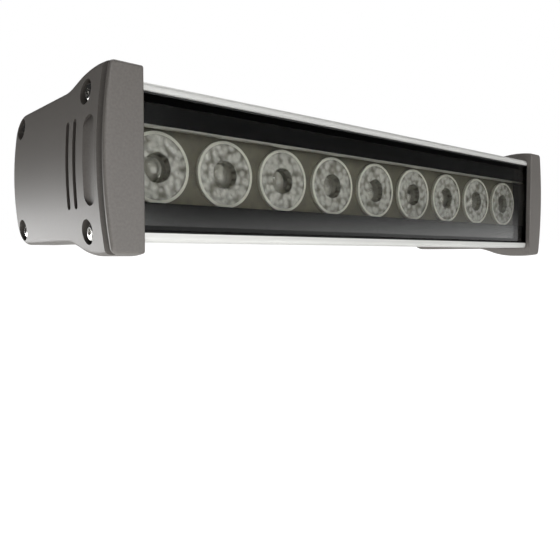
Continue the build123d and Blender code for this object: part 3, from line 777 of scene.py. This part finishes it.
def modified(obj, kind, **settings):
    """Add a modifier with its settings and apply it."""
    modifier = obj.modifiers.new("step", kind)
    for name, value in settings.items():
        setattr(modifier, name, value)
    alone(obj)
    bpy.ops.object.modifier_apply(modifier="step")
    return obj


def copy_to(obj, name, move):
    """Copy with its own mesh, moved within the mesh so that its object stays at the origin."""
    twin = obj.copy()
    twin.data = obj.data.copy()
    twin.name = name
    twin.data.transform(Matrix.Translation(move))
    bpy.context.scene.collection.objects.link(twin)
    return twin


# %% Spinning a profile
MERGE_MM = 0.001


def between(low, high, count):
    """Evenly spaced values after the first and up to the last."""
    return [low + (high - low) * i / count for i in range(1, count + 1)]


def spun(name, profile, steps, axis):
    """Solid of revolution. The profile is a list of (radius, distance along the axis) in mm."""
    points = [(RIGHT * radius + axis * along) * MM for radius, along in profile]
    # A small plane merges into one point, which is moved to the start of the profile.
    bpy.ops.object.select_all(action="DESELECT")
    bpy.ops.mesh.primitive_plane_add(size=MM, location=(0, 0, 0))
    obj = bpy.context.object
    obj.name = name
    bpy.ops.object.mode_set(mode="EDIT")
    bpy.ops.mesh.select_mode(type="VERT")
    bpy.ops.mesh.select_all(action="SELECT")
    bpy.ops.mesh.merge(type="CENTER")
    mesh = bmesh.from_edit_mesh(obj.data)
    mesh.verts.ensure_lookup_table()
    mesh.verts[0].co = points[0]
    bmesh.update_edit_mesh(obj.data)
    for before, after in zip(points, points[1:]):
        bpy.ops.mesh.extrude_vertices_move(TRANSFORM_OT_translate={"value": after - before})
    bpy.ops.mesh.select_all(action="SELECT")
    bpy.ops.mesh.spin(steps=steps, angle=FULL_TURN, center=(0, 0, 0), axis=axis)
    bpy.ops.mesh.select_all(action="SELECT")
    bpy.ops.mesh.remove_doubles(threshold=MERGE_MM * MM)
    bpy.ops.mesh.normals_make_consistent(inside=False)
    bpy.ops.object.mode_set(mode="OBJECT")
    return obj


# %% [markdown]
# Lenses
#
# Each lens is a collimator: a moulded cone of clear acrylic with a socket over the diode, a curved
# flank that throws the light forwards, and a well in the middle of its front with a domed core.
# Its face is pebbled with about a hundred shallow bumps, which, with the light and shade painted
# into the acrylic's colour, make it look grey and lively when it is off. The profile is spun from
# the core outwards, over the face and rim, down the flank and back to the axis in the socket, and
# a
# Displace modifier with a cell texture raises the pebbles.

# %% Lens profile
lens_low, lens_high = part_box("lens_1")
lens_radius = (lens_high.x - lens_low.x) / 2 / MM
lens_length = (lens_high.y - lens_low.y) / MM
lens_steps = 144
rim_width = 1.2
rim_stand = 0.4
rim_depth = 1.5
face_radius = lens_radius - rim_width
face_rings = 22
flank_start = lens_radius - 1.0
flank_end = 5.2
flank_rings = 10
flank_bulge = 1.1
well_radius = 5.6
core_radius = 5.0
core_top = 0.7
core_sphere = 6.8
core_rings = 14
socket_radius = 3.4
socket_roof = lens_length - 4.3

lens_profile = [(0, core_top)]
for angle in between(0, math.asin(core_radius / core_sphere), core_rings):
    along = core_top + core_sphere * (1 - math.cos(angle))
    lens_profile.append((core_sphere * math.sin(angle), along))
well_floor = lens_profile[-1][1]
lens_profile.append((well_radius, rim_stand))
lens_profile += [(radius, rim_stand) for radius in between(well_radius, face_radius, face_rings)]
lens_profile += [(face_radius, 0), (lens_radius, 0)]
lens_profile += [(lens_radius, rim_depth), (flank_start, rim_depth)]
for share in between(0, 1, flank_rings):
    radius = flank_start + (flank_end - flank_start) * share
    # A parabola that reaches the whole bulge halfway along.
    swell = flank_bulge * 4 * share * (1 - share)
    lens_profile.append((radius + swell, rim_depth + (lens_length - rim_depth) * share))
lens_profile += [(socket_radius, lens_length), (socket_radius, socket_roof), (0, socket_roof)]
lens = spun("lens", lens_profile, lens_steps, BACK)
print(f"lens of {len(lens.data.polygons)} faces, {lens_length:.1f} mm deep")

# %% Pebbles on the lens face
pebble_mm = 1.9
pebble_height_mm = 0.34
pebble_margin = 0.2
flat_mm = 0.01

face_band = lens.vertex_groups.new(name="face")
inside = [
    vertex.index
    for vertex in lens.data.vertices
    if abs(vertex.co.y - rim_stand * MM) < flat_mm * MM
    and (well_radius + pebble_margin) * MM
    < math.hypot(vertex.co.x, vertex.co.z)
    < (face_radius - pebble_margin) * MM
]
face_band.add(inside, 1.0, "REPLACE")
cells = bpy.data.textures.new("pebbles", "VORONOI")
cells.noise_scale = pebble_mm * MM
modified(
    lens,
    "DISPLACE",
    texture=cells,
    vertex_group="face",
    direction="Y",
    mid_level=1.0,
    strength=pebble_height_mm * MM,
)
heights = [lens.data.vertices[index].co.y / MM for index in inside]
print(f"{len(inside)} points, {min(heights):.2f} to {max(heights):.2f} mm behind the rim")

# %% Finishes on the lens
lens_smooth_degrees = 40
rim_edge = rim_depth + 0.1

shaded(lens, lens_smooth_degrees)
for finish in (looks["clear_acrylic"], rim_look, core_look):
    lens.data.materials.append(finish)
rim_index, core_index = 1, 2
for face in lens.data.polygons:
    radius = math.hypot(face.center.x, face.center.z) / MM
    depth = face.center.y / MM
    if radius > face_radius and depth < rim_edge:
        face.material_index = rim_index
    if radius < well_radius and depth < well_floor:
        face.material_index = core_index
print(f"{len(lens.data.materials)} finishes on the lens")

# %% Nine lenses in place
lens_count = 9
for number in range(1, lens_count + 1):
    node = f"lens_{number}"
    low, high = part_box(node)
    centre = (low + high) / 2
    piece = copy_to(lens, f"pebbled_lens_{number}", Vector((centre.x, low.y, centre.z)))
    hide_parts(node)
    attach(piece, "lamp")
bpy.data.objects.remove(lens)
print(f"{lens_count} lenses")

# %% [markdown]
# Screws, bolts and nuts
#
# A fastener is a turned piece with flats. So each is spun first as a round blank with its dome,
# chamfers and thread, and a hexagon then trims the blank by a Boolean. The thread is drawn as
# rings, one per turn: at this size no eye tells them from a helix, and rings spin in one go.
# Every fastener stands along Z while it is made, and is turned and moved in its mesh at the end.

# %% Fastener profiles
fastener_steps = 48
dome_rings = 10


def thread(radius, depth, low, high, pitch):
    """Profile points of a ringed thread between two distances along the axis."""
    turns = round((high - low) / pitch)
    step = (high - low) / turns
    points = []
    for turn in range(turns):
        points += [(radius - depth, low + turn * step), (radius, low + (turn + 0.5) * step)]
    return points + [(radius - depth, high)]


def dome(wide, narrow, low, high):
    """Profile points that curve in from a wide radius at low to a narrow one at high."""
    points = []
    for share in between(0, 1, dome_rings):
        radius = narrow + (wide - narrow) * math.cos(share * QUARTER_TURN)
        points.append((radius, low + (high - low) * math.sin(share * QUARTER_TURN)))
    return points


# %% Hexagons and Booleans
hexagon = 6
# A tool reaches this far past what it cuts, in mm, so that no two faces lie in one plane.
overcut = 1
# A round blank stands this far outside the corners of the hexagon cut from it.
corner_room = 0.05


def corner_radius(flats):
    """Distance from a hexagon's middle to its corners, from the width over its flats."""
    return flats / 2 / math.cos(math.pi / hexagon)


def prism(flats, low, high):
    """Upright hexagonal prism with a given width over its flats."""
    bpy.ops.object.select_all(action="DESELECT")
    bpy.ops.mesh.primitive_cylinder_add(
        vertices=hexagon,
        radius=corner_radius(flats) * MM,
        depth=(high - low) * MM,
        location=(0, 0, (low + high) / 2 * MM),
    )
    return bpy.context.object


def trim(obj, tool, operation):
    """Cut a blank with a tool that is used up."""
    modified(obj, "BOOLEAN", operation=operation, solver="EXACT", object=tool)
    bpy.data.objects.remove(tool)
    return obj


# %% Joining and placing
def joined(name, pieces):
    """Several objects as one."""
    alone(pieces[0])
    for piece in pieces:
        piece.select_set(True)
    bpy.ops.object.join()
    pieces[0].name = name
    return pieces[0]


def placed(obj, axis, place):
    """Copy whose Z is turned to an axis and whose origin is moved to a place in mm."""
    twin = copy_to(obj, obj.name, Vector((0, 0, 0)))
    turn = UP.rotation_difference(axis).to_matrix().to_4x4()
    twin.data.transform(Matrix.Translation(place * MM) @ turn)
    return twin


def settle(obj, node, body, degrees=SMOOTH_DEGREES):
    """Shade and finish a piece, and let it stand for a node on a body."""
    shaded(obj, degrees)
    obj.data.materials.clear()
    obj.data.materials.append(looks[slot_of[node]])
    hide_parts(node)
    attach(obj, body)
    print(f"{obj.name}: {len(obj.data.polygons)} faces")


# %% [markdown]
# End-cap screws
#
# Four button-head screws hold each cap. The low dome throws one small bright spot and keeps the
# rest of the head dark, which a flat head would not do. The key's hexagon is cut into the dome.

# %% End-cap screws
screw_radius = 1.95
screw_length = 14.0
screw_pitch = 0.7
screw_thread = 0.35
screw_tip = 0.4
screw_neck = 0.4
thread_stop = 0.8
head_radius = 3.8
head_rim = 0.5
head_height = 2.5
head_flat = 1.7
key_flats = 2.5
key_depth = 1.6

screw_profile = [(0, -screw_length), (screw_radius - screw_thread, -screw_length)]
screw_profile += thread(
    screw_radius, screw_thread, screw_tip - screw_length, -thread_stop, screw_pitch
)
screw_profile += [(screw_radius, -screw_neck), (screw_radius, 0)]
screw_profile += [(head_radius, 0), (head_radius, head_rim)]
screw_profile += dome(head_radius, head_flat, head_rim, head_height) + [(0, head_height)]
screw = spun("cap_screw", screw_profile, fastener_steps, UP)
trim(screw, prism(key_flats, head_height - key_depth, head_height + overcut), "DIFFERENCE")
print(f"one cap screw of {len(screw.data.polygons)} faces")

# %% Screws in their seats
# The seats are this far from the bar's middle, and each screw has a depth Y and a height Z in mm.
screw_seat = 144.9
screw_places = [(-116.5, 24.3), (-116.5, -24.3), (-50.0, 21.6), (-50.0, -21.6)]
for side, word in ((1, "right"), (-1, "left")):
    screws = [
        placed(screw, Vector((side, 0, 0)), Vector((side * screw_seat, depth, height)))
        for depth, height in screw_places
    ]
    settle(joined(f"button_head_screws_{word}", screws), f"end_cap_screws_{word}", "lamp")
bpy.data.objects.remove(screw)

# %% [markdown]
# Pivot and track fasteners
#
# The brackets turn on M6 hexagon bolts, and flanged nuts clamp them to bolts whose square heads
# slide in the housing's track. The corners of a hexagon are chamfered by a cone, because it is
# cut from round bar, and that leaves the curved edges which show on every flat.

# %% Bolt and nut profiles
bolt_radius = 3.0
bolt_pitch = 1.0
bolt_thread = 0.5
hex_flats = 10.0
hex_corner = corner_radius(hex_flats) + corner_room
hex_chamfer = 0.6
bore_chamfer = 0.4
washer_face = 4.7
nut_height = 5.0


def bolt_shank(low, high, thread_end):
    """Threaded shank profile that ends on the axis at its low end, plain above thread_end."""
    points = [(0, low), (bolt_radius - bolt_thread, low)]
    points += thread(bolt_radius, bolt_thread, low + bolt_thread, thread_end, bolt_pitch)
    return points + [(bolt_radius, thread_end + bolt_thread), (bolt_radius, high)]


def hex_nut(name, low, high):
    """Hexagon with its corners chamfered at both ends and a chamfered bore."""
    nut_profile = [
        (bolt_radius + bore_chamfer, low),
        (washer_face, low),
        (hex_corner, low + hex_chamfer),
        (hex_corner, high - hex_chamfer),
        (washer_face, high),
        (bolt_radius + bore_chamfer, high),
        (bolt_radius, high - bore_chamfer),
        (bolt_radius, low + bore_chamfer),
        (bolt_radius + bore_chamfer, low),
    ]
    blank = spun(name, nut_profile, fastener_steps, UP)
    return trim(blank, prism(hex_flats, low - overcut, high + overcut), "INTERSECT")


# %% Pivot bolts and nuts
bolt_head = 4.0
washer_step = 0.4
pivot_tip = -14
pivot_thread_end = -3
# The hexagon that trims the bolt reaches well past its tip and its head.
trim_low, trim_high = -20, 10
# The pivot's depth Y, and how far from the bar's middle the heads and the nuts sit, in mm.
pivot_depth = -24
pivot_bolt_seat = 79
pivot_nut_seat = 67

pivot_profile = bolt_shank(pivot_tip, 0, pivot_thread_end) + [
    (washer_face, 0),
    (washer_face, washer_step),
    (hex_corner, washer_step),
    (hex_corner, bolt_head - hex_chamfer),
    (washer_face, bolt_head),
    (0, bolt_head),
]
pivot_blank = spun("pivot_bolt", pivot_profile, fastener_steps, UP)
pivot_bolt = trim(pivot_blank, prism(hex_flats, trim_low, trim_high), "INTERSECT")
pivot_nut = hex_nut("pivot_nut", 0, nut_height)
for fastener, seat, name, node in (
    (pivot_bolt, pivot_bolt_seat, "hex_bolts_pivot", "pivot_bolts"),
    (pivot_nut, pivot_nut_seat, "hex_nuts_pivot", "pivot_nuts"),
):
    pair = [
        placed(fastener, Vector((side, 0, 0)), Vector((side * seat, pivot_depth, 0)))
        for side in (1, -1)
    ]
    settle(joined(name, pair), node, "wall_brackets")
    bpy.data.objects.remove(fastener)

# %% Track bolt
square_head = 10.8
square_height = 4.2
square_bevel = 0.5
# The depths Y, in mm, at which the heads bear on the track's lips and the shanks end.
track_seat = -46.2
track_end = -32.9
track_length = track_end - track_seat
track_thread_end = 6

# The shank is drawn from its tip, and then flipped so that it stands on its head.
shank_profile = [
    (radius, track_length - along)
    for radius, along in bolt_shank(0, track_length, track_thread_end)
]
shank = spun("track_shank", shank_profile, fastener_steps, UP)
bpy.ops.object.select_all(action="DESELECT")
bpy.ops.mesh.primitive_cube_add(size=square_head * MM, location=(0, 0, -square_height / 2 * MM))
head = bpy.context.object
bpy.ops.object.mode_set(mode="EDIT")
bpy.ops.mesh.select_all(action="SELECT")
bpy.ops.transform.resize(value=(1, 1, square_height / square_head))
bpy.ops.mesh.bevel(offset=square_bevel * MM, segments=3)
bpy.ops.object.mode_set(mode="OBJECT")
bpy.ops.object.transform_apply(location=True, rotation=True, scale=True)
track_bolt = joined("track_bolt", [shank, head])
print(f"one track bolt of {len(track_bolt.data.polygons)} faces")

# %% Flanged nut, and the pairs in the track
flange_radius = 6.4
flange_height = 1.1
flange_edge = 0.5
flange_top = flange_height + 0.3
# The depth Y of the bracket's plate, and each pair's distance X from the bar's middle, in mm.
plate_face = -41.0
track_place = 60.0

track_hexagon = hex_nut("track_nut", flange_height, flange_height + nut_height)
flange_profile = [
    (bolt_radius, 0),
    (flange_radius, 0),
    (flange_radius, flange_edge),
    (washer_face, flange_top),
    (bolt_radius, flange_top),
    (bolt_radius, 0),
]
flange = spun("flange", flange_profile, fastener_steps, UP)
track_nut = joined("track_nut", [track_hexagon, flange])
for fastener, seat, name, node in (
    (track_bolt, track_seat, "square_bolts_track", "track_bolts"),
    (track_nut, plate_face, "flanged_nuts_track", "track_nuts"),
):
    pair = [placed(fastener, BACK, Vector((x, seat, 0))) for x in (track_place, -track_place)]
    settle(joined(name, pair), node, "lamp_brackets")
    bpy.data.objects.remove(fastener)

# %% [markdown]
# Cable gland
#
# A gland is moulded in nylon: a hexagon body with a threaded neck, and a domed nut that squeezes
# a rubber sleeve on the cable. Moulded corners are never sharp, so a Bevel modifier rounds those
# of the nut. Both are drawn along Z at their real distance from the bar's middle, so only a turn
# and a step to the gland's depth are left to bring them onto the right cap.

# %% Gland body
gland_flats = 18.0
gland_corner = corner_radius(gland_flats) + corner_room
gland_pitch = 1.5
gland_thread = 0.5
gland_chamfer = 0.9
gland_shoulder = gland_corner - gland_chamfer
gland_bore = 4.0
gland_low, gland_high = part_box("cable_gland_body")
gland_depth = (gland_low.y + gland_high.y) / 2 / MM
body_start, body_end = gland_low.x / MM, gland_high.x / MM
hex_start, hex_end = 150.1, 155.1
panel_radius = 6.0
panel_stop = 0.6
neck_radius = 6.8
neck_mouth = 6.3
thread_tip = 0.3
seal_room = 5.45
seal_start = 157.4

body_profile = [(gland_bore, body_start), (panel_radius - gland_thread, body_start)]
body_profile += thread(
    panel_radius, gland_thread, body_start + thread_tip, hex_start - panel_stop, gland_pitch
)
body_profile += [
    (panel_radius, hex_start),
    (gland_shoulder, hex_start),
    (gland_corner, hex_start + gland_chamfer / 2),
    (gland_corner, hex_end - gland_chamfer / 2),
    (gland_shoulder, hex_end),
]
body_profile += thread(
    neck_radius, gland_thread, hex_end + thread_tip, body_end - thread_tip, gland_pitch
)
body_profile += [
    (neck_mouth, body_end),
    (seal_room, body_end),
    (seal_room, seal_start),
    (gland_bore, seal_start),
    (gland_bore, body_start),
]
body_blank = spun("gland_body", body_profile, fastener_steps, UP)
body_tool = prism(gland_flats, body_start - overcut, body_end + overcut)
gland_body = trim(body_blank, body_tool, "INTERSECT")
print(f"gland body from {body_start:.1f} to {body_end:.1f} mm")

# %% Domed gland nut
nut_low, nut_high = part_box("gland_nut")
nut_start, nut_end = nut_low.x / MM, nut_high.x / MM
nut_bore, nut_mouth, nut_nose = 6.85, 4.3, 6.6
mouth_start = 163.0
dome_start = nut_end - 5.6
gland_round = 0.35
edge_degrees = 40


def softened(obj, width_mm):
    """Round the sharp edges a little."""
    return modified(
        obj,
        "BEVEL",
        width=width_mm * MM,
        segments=2,
        limit_method="ANGLE",
        angle_limit=math.radians(edge_degrees),
    )


dome_profile = [
    (nut_bore, nut_start),
    (gland_shoulder, nut_start),
    (gland_corner, nut_start + gland_chamfer),
    (gland_corner, dome_start),
]
dome_profile += dome(gland_corner, nut_nose, dome_start, nut_end)
dome_profile += [
    (nut_mouth, nut_end),
    (nut_mouth, mouth_start),
    (nut_bore, mouth_start),
    (nut_bore, nut_start),
]
dome_blank = spun("gland_nut_blank", dome_profile, fastener_steps, UP)
dome_tool = prism(gland_flats, nut_start - overcut, nut_end + overcut)
gland_nut = softened(trim(dome_blank, dome_tool, "INTERSECT"), gland_round)
for fitting, name, node in (
    (gland_body, "ringed_gland_body", "cable_gland_body"),
    (gland_nut, "domed_gland_nut", "gland_nut"),
):
    piece = placed(fitting, RIGHT, Vector((0, gland_depth, 0)))
    piece.name = name
    settle(piece, node, "lamp")
    bpy.data.objects.remove(fitting)

# %% [markdown]
# Brackets
#
# The brackets are bent from 3 mm steel sheet. Sheared edges are deburred before the powder coat,
# so light catches a thin rounded line along each. The frame's own mesh is copied, its loose
# triangles are merged and dissolved back to whole faces, and a small bevel rounds the edges.
# Shading across such a narrow bevel smears over the large faces, so a Weighted Normal modifier
# lets the large faces decide.

# %% Brackets with deburred edges
bracket_round = 0.45
bracket_smooth_degrees = 30
flat_degrees = 1

for carrier in ("lamp", "wall"):
    for side in ("right", "left"):
        node = f"{carrier}_bracket_{side}"
        piece = copy_to(frame["nodes"][node], f"deburred_{node}", Vector((0, 0, 0)))
        piece.parent = None
        alone(piece)
        bpy.ops.object.mode_set(mode="EDIT")
        bpy.ops.mesh.select_all(action="SELECT")
        bpy.ops.mesh.remove_doubles(threshold=MERGE_MM * MM)
        bpy.ops.mesh.dissolve_limited(angle_limit=math.radians(flat_degrees))
        bpy.ops.object.mode_set(mode="OBJECT")
        softened(piece, bracket_round)
        settle(piece, node, f"{carrier}_brackets", bracket_smooth_degrees)
        modified(piece, "WEIGHTED_NORMAL", keep_sharp=True)
